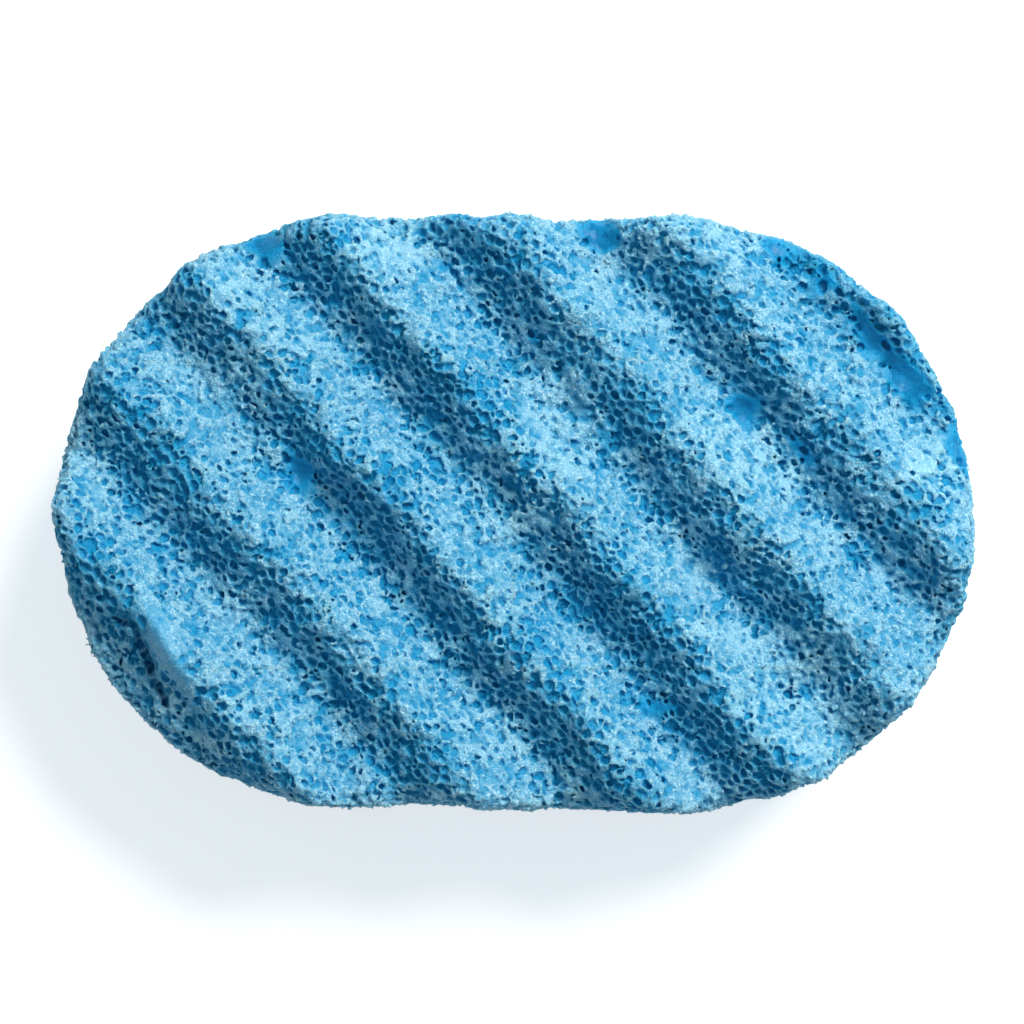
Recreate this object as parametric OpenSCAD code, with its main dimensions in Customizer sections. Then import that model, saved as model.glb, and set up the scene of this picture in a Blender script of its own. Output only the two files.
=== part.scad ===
// Soap sponge: an oval block of open-celled foam with diagonal waves moulded
// across its top. Millimetres, base on z = 0, long side along X.

/* [Block] */
// Length over both round ends
length = 150; // [120:1:200]
// Width, which is also the diameter of the round ends
width = 98; // [70:1:110]
// Height from the flat base to the top of a wave
thickness = 45; // [30:0.5:70]

/* [Edges] */
// Rounding where the top rolls over into the side
rim_radius = 4.5; // [2:0.5:12]
// Rounding where the side meets the base
base_radius = 2.5; // [1:0.5:6]

/* [Waves] */
// Distance from crest to crest, square across the ridges
wave_pitch = 21.3; // [17:0.1:28]
// Height of a crest over the valley beside it
wave_height = 8; // [4:0.1:10]
// Radius of every crest and of every valley
wave_radius = 3.6; // [2.5:0.1:4]
// Direction in which the waves follow one another, turned from +X towards +Y
wave_turn = 40.5; // [0:0.5:90]
// How far the crest nearest the middle lies from the middle
crest_offset = 7.8; // [-10:0.1:10]

/* [Hidden] */
$fn = 96;
end_shift = (length - width) / 2;
// the block stands a little higher before the waves are cut into it
uncut = thickness + 1.5;
valley_z = thickness - wave_height;
// slope of the straight flank that touches a crest circle and a valley circle
drop = wave_height - 2 * wave_radius;
flank = atan2(drop, wave_pitch / 2)
      + asin(2 * wave_radius / norm([wave_pitch / 2, drop]));
touch_x = wave_radius * sin(flank);
touch_z = wave_radius * (1 - cos(flank));
// flanks sit a hair inside both circles, so that they cross instead of grazing
hair = 0.03;
inset = hair / sin(flank);
valley_radius = wave_radius + 2 * hair / (1 - cos(flank));
crests = ceil(length / 2 / wave_pitch) + 1;
reach = (crests + 1) * wave_pitch;

// half of the block's upright section, from the middle out to the side
module half_section() {
    side = width / 2;
    difference() {
        square([side, uncut]);
        translate([side - rim_radius, uncut - rim_radius])
            square(rim_radius + 1);
        translate([side - base_radius, -1])
            square([base_radius + 1, base_radius + 1]);
    }
    translate([side - rim_radius, uncut - rim_radius])
        intersection() {
            circle(rim_radius);
            square(rim_radius);
        }
    translate([side - base_radius, base_radius])
        intersection() {
            circle(base_radius);
            translate([0, -base_radius]) square(base_radius);
        }
}

// oval block with its rim rounded all the way round
module block() {
    translate([end_shift, 0, 0]) rotate([0, 0, -90])
        rotate_extrude(angle = 180) half_section();
    translate([-end_shift, 0, 0]) rotate([0, 0, 90])
        rotate_extrude(angle = 180) half_section();
    translate([-end_shift, 0, 0]) rotate([90, 0, 90])
        linear_extrude(height = 2 * end_shift) {
            half_section();
            mirror([1, 0]) half_section();
        }
}

// section square across the ridges: straight flanks between round crests and valleys
module wave_section() {
    difference() {
        union() {
            translate([-reach, -1])
                square([2 * reach, valley_z + touch_z + 1]);
            for (i = [-crests:crests])
                translate([crest_offset + i * wave_pitch, 0]) {
                    polygon([
                        [touch_x + inset - wave_pitch / 2, valley_z + touch_z],
                        [wave_pitch / 2 - touch_x - inset, valley_z + touch_z],
                        [touch_x - inset, thickness - touch_z],
                        [inset - touch_x, thickness - touch_z]
                    ]);
                    translate([0, thickness - wave_radius])
                        circle(wave_radius);
                }
        }
        for (i = [-crests:crests])
            translate([crest_offset + (i + 0.5) * wave_pitch, valley_z + valley_radius])
                circle(valley_radius);
    }
}

module sponge() {
    color([0.30, 0.58, 0.74])
        intersection() {
            block();
            rotate([0, 0, wave_turn]) rotate([90, 0, 0])
                linear_extrude(height = 2 * length, center = true)
                    wave_section();
        }
}

sponge();
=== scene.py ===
import math

import bmesh
import bpy
import numpy as np
import openvdb
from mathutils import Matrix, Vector


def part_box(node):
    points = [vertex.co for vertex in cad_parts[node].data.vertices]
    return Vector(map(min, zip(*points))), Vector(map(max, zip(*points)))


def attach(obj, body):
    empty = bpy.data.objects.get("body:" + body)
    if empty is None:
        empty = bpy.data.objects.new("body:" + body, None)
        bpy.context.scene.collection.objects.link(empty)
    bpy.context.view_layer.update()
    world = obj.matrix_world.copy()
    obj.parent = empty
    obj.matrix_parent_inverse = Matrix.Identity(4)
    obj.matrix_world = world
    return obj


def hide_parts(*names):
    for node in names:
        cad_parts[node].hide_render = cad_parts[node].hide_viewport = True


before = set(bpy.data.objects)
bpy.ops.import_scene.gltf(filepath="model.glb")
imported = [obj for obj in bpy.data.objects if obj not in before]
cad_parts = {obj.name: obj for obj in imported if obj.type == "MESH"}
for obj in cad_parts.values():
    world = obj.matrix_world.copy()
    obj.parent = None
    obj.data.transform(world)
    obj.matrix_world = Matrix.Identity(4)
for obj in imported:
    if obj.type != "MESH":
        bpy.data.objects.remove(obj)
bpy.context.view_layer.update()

# ---------------------------------------------------------------- studio
# A wide pale table that stays white to the eye but keeps the sponge's
# shadow, one large soft lamp high on the right behind, and a camera that
# looks almost straight down on the waves.
scene = bpy.context.scene
scene.view_settings.view_transform = "Standard"


class Wire:
    """One output socket in a material, so that shader sums read as plain sums."""

    def __init__(self, tree, socket):
        self.tree = tree
        self.socket = socket

    def combine(self, kind, first, second):
        return node(self.tree, "ShaderNodeMath", {"operation": kind}, {0: first, 1: second})[0]

    def __add__(self, other):
        return self.combine("ADD", self, other)

    def __radd__(self, other):
        return self.combine("ADD", other, self)

    def __sub__(self, other):
        return self.combine("SUBTRACT", self, other)

    def __rsub__(self, other):
        return self.combine("SUBTRACT", other, self)

    def __mul__(self, other):
        return self.combine("MULTIPLY", self, other)

    def __rmul__(self, other):
        return self.combine("MULTIPLY", other, self)

    def __truediv__(self, other):
        return self.combine("DIVIDE", self, other)

    def __rtruediv__(self, other):
        return self.combine("DIVIDE", other, self)

    def clamp(self):
        return self.combine("MINIMUM", self.combine("MAXIMUM", self, 0.0), 1.0)


def node(tree, kind, settings=None, sockets=None):
    """Adds a node, sets it up, feeds it and returns its outputs as wires."""
    made = tree.nodes.new(kind)
    for name, value in (settings or {}).items():
        if name == "ramp":
            stops = made.color_ramp.elements
            while len(stops) < len(value):
                stops.new(1.0)
            for stop, (place, colour) in zip(stops, value):
                stop.position = place
                stop.color = (*colour, 1.0)
        else:
            setattr(made, name, value)
    for name, value in (sockets or {}).items():
        if isinstance(value, Wire):
            tree.links.new(value.socket, made.inputs[name])
        elif made.inputs[name].type == "RGBA":
            made.inputs[name].default_value = (*value, 1.0)
        else:
            made.inputs[name].default_value = value
    return [Wire(tree, out) for out in made.outputs]


table_bm = bmesh.new()
bmesh.ops.create_grid(table_bm, x_segments=1, y_segments=1, size=3.0)
bmesh.ops.translate(table_bm, verts=table_bm.verts, vec=(0, 0, -0.0002))
table_mesh = bpy.data.meshes.new("table")
table_bm.to_mesh(table_mesh)
table_bm.free()
table = bpy.data.objects.new("table", table_mesh)
scene.collection.objects.link(table)
table_paint = bpy.data.materials.new("pale_table")
table_paint.use_nodes = True
tree = table_paint.node_tree
tree.nodes.clear()
# only the camera sees the table's glow: it adds no light to the sponge
white = node(tree, "ShaderNodeBsdfDiffuse", None, {"Color": (0.9, 0.9, 0.9)})[0]
glow = node(tree, "ShaderNodeEmission", None, {"Color": (1.0, 1.0, 1.0), "Strength": 0.62})[0]
to_camera = node(tree, "ShaderNodeLightPath")[0]
plain = node(tree, "ShaderNodeAddShader", None, {0: white, 1: glow})[0]
shown = node(tree, "ShaderNodeMixShader", None, {0: to_camera, 1: white, 2: plain})[0]
node(tree, "ShaderNodeOutputMaterial", None, {"Surface": shown})
table.data.materials.append(table_paint)

world = bpy.data.worlds.new("room")
scene.world = world
world.use_nodes = True
tree = world.node_tree
tree.nodes.clear()
# a cool, dim room lights the sponge, and the camera sees white beyond the table
to_camera = node(tree, "ShaderNodeLightPath")[0]
dim = node(tree, "ShaderNodeBackground", None, {"Color": (0.66, 0.88, 1.0), "Strength": 0.31})[0]
sky = node(tree, "ShaderNodeBackground", None, {"Color": (1.0, 1.0, 1.0), "Strength": 1.0})[0]
shown = node(tree, "ShaderNodeMixShader", None, {0: to_camera, 1: dim, 2: sky})[0]
node(tree, "ShaderNodeOutputWorld", None, {"Surface": shown})


def soft_lamp(name, bearing, height, distance, size, power, colour):
    """A round lamp that faces the sponge from a bearing and a height in degrees."""
    lamp = bpy.data.lights.new(name, "AREA")
    lamp.shape = "DISK"
    lamp.size = size
    lamp.energy = power
    lamp.color = colour
    stand = bpy.data.objects.new(name, lamp)
    b = math.radians(bearing)
    h = math.radians(height)
    way = Vector((math.cos(b) * math.cos(h), math.sin(b) * math.cos(h), math.sin(h)))
    stand.location = Vector((0, 0, 0.02)) + way * distance
    stand.rotation_euler = way.to_track_quat("Z", "Y").to_euler()
    scene.collection.objects.link(stand)


soft_lamp("window_lamp", bearing=50, height=50, distance=1.2, size=0.6, power=16.0,
          colour=(1.0, 0.985, 0.96))

lens = bpy.data.cameras.new("camera")
camera = bpy.data.objects.new("camera", lens)
scene.collection.objects.link(camera)
scene.camera = camera
lens.lens = 150
lens.sensor_width = 36
lens.clip_start = 0.01
tilt = math.radians(88.0)
camera_distance = 0.697
aim = Vector((-0.0003, 0.0005, 0.036))
back = Vector((0.0, -math.cos(tilt), math.sin(tilt)))
camera.location = aim + back * camera_distance
camera.rotation_euler = back.to_track_quat("Z", "Y").to_euler()

# ------------------------------------------------------------ foam block
# The sponge itself: one block of open-celled polyurethane foam, cut to an
# oval, waved on top with a wavy knife and steeped in melted blue soap, which
# coats every strut, rounds it off and fills the cells further in.
block_lo, block_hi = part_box("sponge")
length = (block_hi.x - block_lo.x) * 1000
width = (block_hi.y - block_lo.y) * 1000
crest = (block_hi.z - block_lo.z) * 1000
wave_pitch = 21.3
wave_height = 7.0
wave_turn = math.radians(40.5)
crest_offset = 7.8
rim_radius = 4.5
base_radius = 2.5
skin_sink = 0.6
# the walls between cells: bare foam, and what soap adds to them
bare_wall = 0.2
soap_on_wall = 0.18
# how round the walls and the mouths of the cells are, and how deep the cells go
wall_round = 0.3
mouth_round = 0.22
pit_depth = 0.85
# how rough a bare strut is, and what soap adds to that
bare_grain = 0.15
soap_grain = 0.24
# where the face ends on the side, below the troughs, and how softly
face_end = 34.6
face_fade = 2.2
# a short tear in the lower left of the face, point by point
tear = ((-64.5, -16.8), (-61.6, -18.2), (-59.4, -22.6), (-58.0, -27.0), (-57.0, -30.5))
tear_depth = 3.4
tear_reach = 1.5
ridge_height = 2.2


def drift(x, y, size, seed):
    """Smooth random wandering over a surface, with bumps about this size."""
    chance = np.random.default_rng(seed).standard_normal((64, 64)).astype(np.float32)
    u = x / size + 21.3
    v = y / size + 20.7
    i = np.floor(u).astype(int)
    j = np.floor(v).astype(int)
    fu = u - i
    fv = v - j
    fu = fu * fu * (3 - 2 * fu)
    fv = fv * fv * (3 - 2 * fv)
    i %= 63
    j %= 63
    low = chance[i, j] * (1 - fu) + chance[i + 1, j] * fu
    high = chance[i, j + 1] * (1 - fu) + chance[i + 1, j + 1] * fu
    return low * (1 - fv) + high * fv


def blend_max(a, b, soft):
    """The larger of two distances, with the corner between them rounded."""
    near = np.clip(soft - np.abs(a - b), 0, None) / soft
    return np.maximum(a, b) + near * near * soft / 4


def wave_phase(x, y):
    """Angle of the wave at a place: 0 on a crest, pi in a trough."""
    u = x / 50
    v = y / 50
    # the wavy knife wandered: its crests bow a little and fan out
    wander = 1.1 * u - 0.7 * u ** 3 + 0.7 * v - 0.85 * u * v + 0.35 * drift(x, y, 9, 2)
    along = x * math.cos(wave_turn) + y * math.sin(wave_turn) + wander
    return 2 * np.pi * (along - crest_offset) / wave_pitch


def crease(x, y):
    """Distance from a short tear in the lower left of the face."""
    near = 99.0
    for (ax, ay), (bx, by) in zip(tear, tear[1:]):
        t = np.clip(((x - ax) * (bx - ax) + (y - ay) * (by - ay))
                    / ((bx - ax) ** 2 + (by - ay) ** 2), 0, 1)
        near = np.minimum(near, np.hypot(x - ax - t * (bx - ax), y - ay - t * (by - ay)))
    return near


def blob(x, y):
    """A smooth ridge of set soap beside the tear: 1 at its middle, 0 outside it."""
    lean = x + 56.0 + 0.42 * (y + 22)
    return np.exp(-(lean / 2.5) ** 2 - ((y + 22) / 6.5) ** 2)


def wavy_top(x, y):
    """Height of the wave-cut face, and how steep it is."""
    turn = wave_phase(x, y)
    swing = wave_height / 2 * (1 + 0.16 * drift(x, y, 17, 3))
    lumps = 0.3 * drift(x, y, 16, 11) + 0.45 * drift(x, y, 6.5, 4) + 0.36 * drift(x, y, 3.2, 5)
    height = crest - skin_sink - wave_height / 2 + swing * np.cos(turn) + lumps
    torn = crease(x, y) + 0.6 * np.abs(drift(x, y, 2.2, 14))
    split = np.clip(1 - torn / tear_reach, 0, 1)
    height = height + ridge_height * blob(x, y) - tear_depth * split
    return height, swing * 2 * np.pi / wave_pitch * np.abs(np.sin(turn))


def soap_fill(x, y, z):
    """How far soap has filled the outer cells: 0 leaves them open, 1 closes them."""
    lee = np.clip((z - 32) / 4, 0, 1) * 0.3 * np.sin(wave_phase(x, y))
    patches = 0.2 * drift(x, y + 0.7 * z, 11, 8) + 0.2 * drift(x - z, y, 4.5, 9)
    return np.clip(0.42 + lee + patches, 0, 1)


def oval_side(x, y):
    """Distance from the hand-cut side, which strays a little from the true oval."""
    past = np.maximum(np.abs(x) - (length - width) / 2, 0)
    bearing = np.arctan2(y, x)
    # cut a shade short at the lower left, left full at the upper left and lower right
    short = 0.5 + 0.5 * np.cos(bearing - math.radians(230))
    short = short - 0.5 * np.cos(2 * (bearing - math.radians(158)))
    return np.hypot(past, y) - width / 2 + short + 0.25 * drift(x, y, 4, 7)


def pooled(x, y):
    """Where soap set in smooth pools at the back ends of the troughs: 1 in a pool."""
    turn = wave_phase(x, y)
    trough = np.clip((-np.cos(turn - 0.35) - 0.6) / 0.25, 0, 1)
    edge = 1.2 * np.clip((oval_side(x, y) + 7) / 4, 0, 1) * (y > 0)
    corner = 2.0 * np.exp(-((x - 57) ** 2 + (y - 29) ** 2) / 14 ** 2)
    return trough * np.clip(1.2 * drift(x, y, 5.5, 12) - 1.4 + corner + 0.8 * edge, 0, 1)


def on_face(z):
    """1 up on the wavy face, fading to 0 just below the troughs' ends on the side."""
    return np.clip((z - face_end) / face_fade, 0, 1)


def block_skin(x, y, z, top=None, side=None):
    """Distance from the uncut surface of the block: below zero inside it."""
    height, steep = wavy_top(x, y) if top is None else top
    over = (z - height) / np.sqrt(1 + steep * steep)
    out = (oval_side(x, y) if side is None else side) + 0 * z
    return blend_max(blend_max(over, out, rim_radius), -z, base_radius)


# Cells of the foam: their centres are tried at random in the millimetre cubes that
# meet the skin, big cells first, and each one taken keeps the next ones off.
dice = np.random.default_rng(5)
# how far in and out of the skin they lie, and half the diagonal of a cube, rounded up
shell = 0.75
proud = 0.2
half_cube = 0.9
# how many are tried in a cube, on the block and under it, and their sizes
tries = 11
tries_below = 5
common_radius = 0.38
size_spread = 0.5
smallest_radius = 0.17
largest_radius = 0.95
cubes = np.stack(np.meshgrid(np.arange(-77, 77), np.arange(-51, 51), np.arange(-1, 47),
                             indexing="ij"), -1).reshape(-1, 3)
skin = block_skin(*(cubes + 0.5).T)
cubes = cubes[(skin > -shell - half_cube) & (skin < proud + half_cube)]
spots = np.repeat(cubes, np.where(cubes[:, 2] < 1, tries_below, tries), 0).astype(np.float32)
spots += dice.random(spots.shape, dtype=np.float32)
skin = block_skin(*spots.T)
spots = spots[(skin < proud) & (skin > -shell)]
sizes = np.exp(dice.normal(math.log(common_radius), size_spread, len(spots)))
sizes = np.clip(sizes, smallest_radius, largest_radius)
# a few blown cells, and coarser ones under the block
sizes[dice.random(len(spots)) < 0.002] *= 1.5
sizes[spots[:, 2] < 1] *= 1.25
filled = soap_fill(*spots.T)
order = np.argsort(-sizes * dice.uniform(0.75, 1.0, len(spots)))
spots = spots[order]
sizes = sizes[order]
filled = filled[order]
# a grid round the block holds the free distance to the cells already taken
step = 0.25
apart = 0.8
# a later cell is at most a third bigger, so this many radii cover both of them
cover = 1.9
room_size = np.array((162, 110, 57))
room_corner = np.array((-81, -55, -5))
room = np.full((room_size / step).astype(int), 9.0, np.float32)
slots = np.round((spots - room_corner) / step).astype(int)
keep = []
for n, ((i, j, k), r) in enumerate(zip(slots.tolist(), sizes.tolist())):
    if room[i, j, k] > apart * r:
        keep.append(n)
        s = int(r * cover / step) + 1
        span = np.arange(-s, s + 1, dtype=np.float32) ** 2 * step ** 2
        away = np.sqrt(span[:, None, None] + span[None, :, None] + span[None, None, :])
        away -= apart * r
        here = room[i - s:i + s + 1, j - s:j + s + 1, k - s:k + s + 1]
        np.minimum(here, away, out=here)
del room
cell_at = spots[keep].astype(float)
full = filled[keep]
# soap narrows the cells, and closes some of them
cell_r = sizes[keep] * (1.15 - 0.5 * full)
closed = (pooled(*cell_at.T[:2]) + 1.5 * blob(*cell_at.T[:2])) * on_face(cell_at[:, 2])
alive = dice.random(len(keep)) > 0.12 + 0.25 * full + closed
cell_at = cell_at[alive]
cell_r = cell_r[alive]
# where soap stands high the open cells are shallow: they sit half outside the skin
lift = np.clip((full[alive] - 0.3) / 0.4, 0, 1) * dice.uniform(0.5, 1.0, len(cell_r))
skin = block_skin(*cell_at.T)
slope = np.stack([block_skin(*(cell_at + shift).T) - skin for shift in np.eye(3) * 0.2], 1)
slope /= np.linalg.norm(slope, axis=1)[:, None]
cell_at += slope * (lift * (0.5 * cell_r - skin))[:, None]
cell_squash = dice.uniform(0.85, 1.18, (len(cell_r), 3))


def rough_tile(coarse, fine):
    """A cube of soft noise that repeats, built up from the coarse steps to the fine."""
    tile = dice.standard_normal((coarse,) * 3).astype(np.float32)
    while coarse < fine:
        for axis in range(3):
            halfway = (tile + np.roll(tile, -1, axis)) / 2
            shape = list(tile.shape)
            shape[axis] *= 2
            tile = np.stack((tile, halfway), axis + 1).reshape(shape)
        coarse *= 2
    return tile


top_grid = 0.24
side_grid = 0.4
base_grid = 0.5
# bumps on the struts, of two, four and eight steps of the top's grid
grain = 0.6 * rough_tile(48, 96) + 0.8 * rough_tile(24, 96) + 0.35 * rough_tile(12, 96)
# heights at which the top pieces give way to the side, and the side to the base
top_from = 33
side_from = 2.5


def mesh_of(name, points, tris):
    """A mesh from corner points in millimetres and the three corners of each face."""
    mesh = bpy.data.meshes.new(name)
    mesh.vertices.add(len(points))
    mesh.vertices.foreach_set("co", (points / 1000).astype(np.float32).ravel())
    mesh.loops.add(len(tris) * 3)
    mesh.loops.foreach_set("vertex_index", tris.astype(np.int32).ravel())
    mesh.polygons.add(len(tris))
    mesh.polygons.foreach_set("loop_start", np.arange(0, len(tris) * 3, 3, dtype=np.int32))
    mesh.update(calc_edges=True)
    return mesh


def without_crumbs(points, tris):
    """Keeps the biggest connected body: crumbs, shut bubbles and folded faces go."""
    label = np.arange(len(points))
    before = None
    while before is None or (label != before).any():
        before = label.copy()
        lowest = label[tris].min(1)
        for corner in tris.T:
            np.minimum.at(label, corner, lowest)
        label = label[label]
    body = label[tris[:, 0]]
    tris = tris[body == np.bincount(body).argmax()]
    _, same, count = np.unique(np.sort(tris, 1), axis=0, return_inverse=True, return_counts=True)
    tris = tris[count[same.ravel()] == 1]
    used, tris = np.unique(tris, return_inverse=True)
    return points[used], tris.reshape(-1, 3)


def foam_piece(name, low, high, voxel, faces, lap=2.4, duck=0.12, duck_over=0.3):
    """Part of the block between two corners, as a closed mesh of struts and cells."""
    steps = [np.arange(math.floor((low[a] - lap) / voxel) - 2,
                       math.ceil((high[a] + lap) / voxel) + 3) for a in range(3)]
    xs, ys, zs = ((part * voxel).astype(np.float32) for part in steps)
    gx, gy = np.meshgrid(xs, ys, indexing="ij")
    top = [part.astype(np.float32)[:, :, None] for part in wavy_top(gx, gy)]
    side = oval_side(gx, gy).astype(np.float32)[:, :, None]
    skin = block_skin(gx[:, :, None], gy[:, :, None], zs[None, None, :], top, side)
    skin = skin.astype(np.float32)
    # distances from the nearest cell and from the next one
    void = np.full(skin.shape, 4.0, np.float32)
    other = np.full(skin.shape, 4.0, np.float32)
    corner = np.array((xs[0], ys[0], zs[0]))
    # how far a squashed cell and the walls round it reach
    reach = cell_r * 1.25 + 0.5
    first = np.floor((cell_at - reach[:, None] - corner) / voxel).astype(int)
    last = np.ceil((cell_at + reach[:, None] - corner) / voxel).astype(int) + 1
    first = np.maximum(first, 0)
    last = np.minimum(last, skin.shape)
    near = np.flatnonzero((last > first).all(1))
    for c in near:
        (i0, j0, k0), (i1, j1, k1) = first[c], last[c]
        px, py, pz = cell_at[c]
        qx, qy, qz = cell_squash[c]
        ex = ((xs[i0:i1] - px) * qx) ** 2
        ey = ((ys[j0:j1] - py) * qy) ** 2
        ez = ((zs[k0:k1] - pz) * qz) ** 2
        bubble = np.sqrt(ex[:, None, None] + ey[None, :, None] + ez[None, None, :])
        bubble = bubble.astype(np.float32) - cell_r[c]
        here = void[i0:i1, j0:j1, k0:k1]
        behind = other[i0:i1, j0:j1, k0:k1]
        np.minimum(behind, np.maximum(here, bubble), out=behind)
        np.minimum(here, bubble, out=here)
    # the soap changes slowly, so every fourth step is enough for it
    full = soap_fill(xs[::4, None, None], ys[None, ::4, None], zs[None, None, ::4])
    for axis, line in enumerate(steps):
        full = np.take(full, np.arange(len(line)) // 4, axis)
    # a wall stays where two cells come close, and no cell goes deeper than a pit
    wall = bare_wall + soap_on_wall * full
    void = blend_max(void, wall - (other - void), wall_round)
    void = blend_max(void, -skin - pit_depth, wall_round)
    solid = blend_max(skin, -void, mouth_round)
    tile = [np.round(line / top_grid).astype(int) % len(grain) for line in (xs, ys, zs)]
    rough = grain[np.ix_(*tile)]
    calm = np.clip(pooled(gx, gy) + blob(gx, gy), 0, 1)[:, :, None] * on_face(zs)
    solid = solid + (bare_grain + soap_grain * full) * (1 - 0.65 * calm) * rough
    for axis, line in enumerate((xs, ys, zs)):
        shape = [1, 1, 1]
        shape[axis] = -1
        past = np.maximum(low[axis] - line, line - high[axis]).reshape(shape)
        # past its own ground a piece ducks under its neighbour, and ends after the lap
        solid = np.maximum(solid + np.clip(past / duck_over, 0, 1) * duck, past - lap)
    grid = openvdb.FloatGrid(background=1.0)
    grid.copyFromArray(np.ascontiguousarray(solid, dtype=np.float32))
    points, tris, quads = grid.convertToPolygons(isovalue=0.0, adaptivity=0.02)
    tris = np.concatenate((tris, quads[:, (0, 1, 2)], quads[:, (0, 2, 3)]))
    points = points * voxel + corner
    piece = bpy.data.objects.new(name, mesh_of(name, points, tris))
    scene.collection.objects.link(piece)
    thin = piece.modifiers.new("thin", "DECIMATE")
    thin.ratio = min(1.0, faces / len(tris))
    graph = bpy.context.evaluated_depsgraph_get()
    mesh = piece.evaluated_get(graph).to_mesh()
    co = np.empty(len(mesh.vertices) * 3, np.float32)
    tris = np.empty(len(mesh.loops), np.int32)
    mesh.vertices.foreach_get("co", co)
    mesh.loops.foreach_get("vertex_index", tris)
    co, tris = without_crumbs(co.reshape(-1, 3) * 1000, tris.reshape(-1, 3))
    piece.modifiers.clear()
    piece.data = mesh = mesh_of(name, co, tris)
    mesh.shade_smooth()
    # what the soap's colour follows: depth in the cells, darker deeper partly as painted shade,
    # still pools and pale froth, and painted light where the cells are open
    deep = block_skin(co[:, 0], co[:, 1], co[:, 2])
    # painted light: paler where the cells are more open, as on the slopes turned away from the lamp
    deep -= 0.4 * np.clip(0.5 - soap_fill(*co.T), 0, 1)
    pool = pooled(*co.T[:2]) * on_face(co[:, 2])
    still = np.clip(pool + 1.3 * blob(*co.T[:2]), 0, 1)
    deep -= 1.3 * pool
    foamy = np.clip(0.3 * drift(co[:, 0] + co[:, 2], co[:, 1], 7, 21), 0, 0.5)
    for label, values in (("sunk", -deep), ("smooth_soap", still), ("froth", foamy)):
        store = mesh.attributes.new(label, "FLOAT", "POINT")
        store.data.foreach_set("value", values.astype(np.float32))
    # a flat map, seen from above, on which the colours can be baked
    layer = mesh.uv_layers.new(name="OFBake")
    flat = (co[:, :2] - co[:, :2].min(0)) / np.ptp(co[:, :2], axis=0)
    layer.data.foreach_set("uv", flat[tris.ravel()].astype(np.float32).ravel())
    return piece


# Soap on foam: pale on the tips of the struts, partly a painted sheen, and deep blue down in the
# cells, partly painted shade, with painted pinhole dots and painted highlights on the tips, and
# light that soaks in a little.
soap_foam = bpy.data.materials.new("soap_foam")
soap_foam.use_nodes = True
tree = soap_foam.node_tree
tree.nodes.clear()
sunk, still, froth = (node(tree, "ShaderNodeAttribute", {"attribute_name": label})[2]
                      for label in ("sunk", "smooth_soap", "froth"))
place = node(tree, "ShaderNodeTexCoord")[3]
fuzz = node(tree, "ShaderNodeTexNoise", None, {
    "Vector": place, "Scale": 1300.0, "Detail": 2.0, "Roughness": 0.75})[0]
beads = node(tree, "ShaderNodeTexNoise", None, {"Vector": place, "Scale": 2700.0, "Detail": 0.0})[0]
tip = (0.9 - sunk * 2.4).clamp()
# painted shade: dark dots for tiny holes on the tips of the struts
pinhole_shade = ((0.37 - beads) * 9.0).clamp() * tip
# painted highlights: pale specks on the tips that stand for wet sparkle
painted_glints = ((beads - 0.66) * 14.0).clamp() * tip
# colour from pale on the tips to deep blue in the cells: partly the soap's own colour, partly
# painted sheen and painted shade
level = (sunk + 0.2 + (fuzz - 0.5) * 0.6 + pinhole_shade * 0.6) / 1.6
soap_and_shade = node(tree, "ShaderNodeValToRGB", {"ramp": (
    (0.0, (0.28, 0.59, 0.77)), (0.2, (0.14, 0.45, 0.67)), (0.38, (0.045, 0.37, 0.63)),
    (0.69, (0.005, 0.34, 0.64)), (1.0, (0.004, 0.22, 0.47)))}, {"Fac": level.clamp()})[0]
frothed = node(tree, "ShaderNodeMix", {"data_type": "RGBA"}, {
    0: froth * tip, 6: soap_and_shade, 7: (0.38, 0.74, 0.90)})[2]
# mixes the painted highlights into the colour as near-white specks
glint_painted_colour = node(tree, "ShaderNodeMix", {"data_type": "RGBA"}, {
    0: painted_glints * 0.65, 6: frothed, 7: (0.66, 0.92, 1.0)})[2]
relief = node(tree, "ShaderNodeBump", None, {
    "Height": fuzz * (1.0 - still * 0.75), "Strength": 1.0, "Distance": 0.0007})[0]
satin = node(tree, "ShaderNodeBsdfPrincipled", {"subsurface_method": "RANDOM_WALK"}, {
    "Base Color": glint_painted_colour, "Roughness": 0.36, "Subsurface Weight": 0.5,
    "Subsurface Radius": (0.4, 0.8, 1.0), "Subsurface Scale": 0.0016,
    "Specular IOR Level": 0.25, "Normal": relief})[0]
node(tree, "ShaderNodeOutputMaterial", None, {"Surface": satin})

# each piece: its name, its lower and upper corner, its grid and its triangles
layout = (
    ("foam_top_front", (-78, -52, top_from), (78, -25, 48), top_grid, 190000),
    ("foam_top_left", (-78, -25, top_from), (0, 25, 48), top_grid, 199000),
    ("foam_top_right", (0, -25, top_from), (78, 25, 48), top_grid, 199000),
    ("foam_top_back", (-78, 25, top_from), (78, 52, 48), top_grid, 190000),
    ("foam_side", (-78, -52, side_from), (78, 52, top_from), side_grid, 155000),
    ("foam_base", (-78, -52, -1), (78, 52, side_from), base_grid, 60000))
for name, low, high, voxel, share in layout:
    piece = foam_piece(name, low, high, voxel, share)
    piece.data.materials.append(soap_foam)
    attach(piece, "root")
    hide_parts("sponge")
